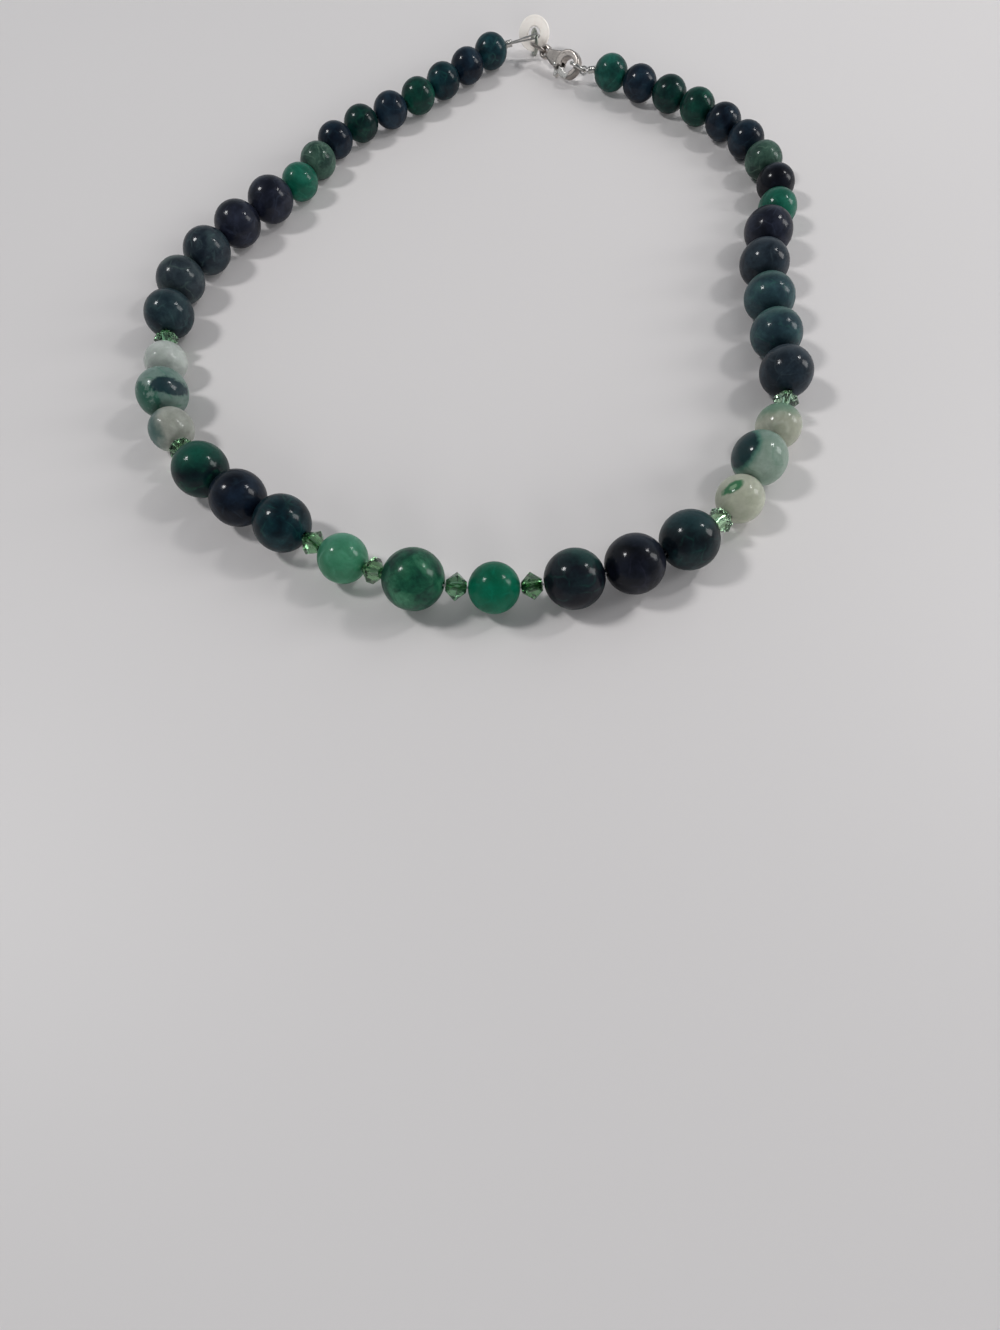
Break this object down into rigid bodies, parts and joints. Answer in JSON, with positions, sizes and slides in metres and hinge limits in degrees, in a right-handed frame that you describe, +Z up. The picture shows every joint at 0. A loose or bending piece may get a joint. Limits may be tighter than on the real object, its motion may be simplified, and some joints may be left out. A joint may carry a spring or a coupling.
{
  "type": "beaded necklace",
  "caption": "Necklace of round polished stone beads on one wire, graduated in size, with faceted glass spacers, closed by a sprung claw clasp beside a round tag.",
  "frame": {"origin": "on the surface that the necklace lies on, under the middle of its box", "axes": "+Z up from the surface it lies on; +Y along the loop from its front beads to its clasp; +X to the right as seen from the front"},
  "size_m": [0.1328, 0.1708, 0.0106],
  "materials": {
    "dark_stone": "polished",
    "grey_green_stone": "polished",
    "mottled_stone": "polished",
    "emerald_stone": "polished",
    "deep_green_stone": "polished",
    "pale_stone": "polished",
    "cloudy_stone": "polished",
    "milky_green_stone": "polished",
    "green_glass": "polished",
    "silver_metal": "satin",
    "wire": "satin"
  },
  "bodies": {
    "necklace": {"bead_08": "mottled_stone", "bead_09": "emerald_stone", "bead_10": "dark_stone", "bead_11": "dark_stone", "bead_12": "grey_green_stone", "bead_13": "grey_green_stone", "bead_14": "dark_stone", "crystal_1": "green_glass", "bead_15": "pale_stone", "bead_16": "cloudy_stone", "bead_17": "pale_stone", "crystal_2": "green_glass", "bead_18": "deep_green_stone", "bead_19": "dark_stone", "bead_20": "deep_green_stone", "crystal_3": "green_glass", "bead_21": "milky_green_stone", "crystal_4": "green_glass", "bead_22": "mottled_stone", "crystal_5": "green_glass", "bead_23": "emerald_stone", "crystal_6": "green_glass", "bead_24": "deep_green_stone", "bead_25": "dark_stone", "bead_26": "dark_stone", "crystal_7": "green_glass", "bead_27": "pale_stone", "bead_28": "cloudy_stone", "bead_29": "pale_stone", "crystal_8": "green_glass", "bead_30": "dark_stone", "bead_31": "grey_green_stone", "bead_32": "grey_green_stone", "bead_33": "dark_stone", "bead_34": "dark_stone", "bead_35": "emerald_stone", "bead_36": "dark_stone", "back_beads_left": "dark_stone", "back_beads_right": "dark_stone", "beading_wire": "wire", "crimp_left": "silver_metal", "crimp_right": "silver_metal", "ring_tag": "silver_metal", "ring_link": "silver_metal", "ring_end": "silver_metal", "tag": "silver_metal", "clasp_body": "silver_metal"},
    "lever": {"clasp_lever": "silver_metal"}
  },
  "joints": [
    {"name": "clasp_lever_hinge", "type": "hinge", "parent": "necklace", "child": "lever", "pos_m": [0.00509, 0.07419, 0.00216], "axis": [-0.4628, -0.6106, 0.6427], "range_deg": [0, 16], "stiffness_Nm_per_rad": 0.005, "springref_deg": -17.19}
  ]
}
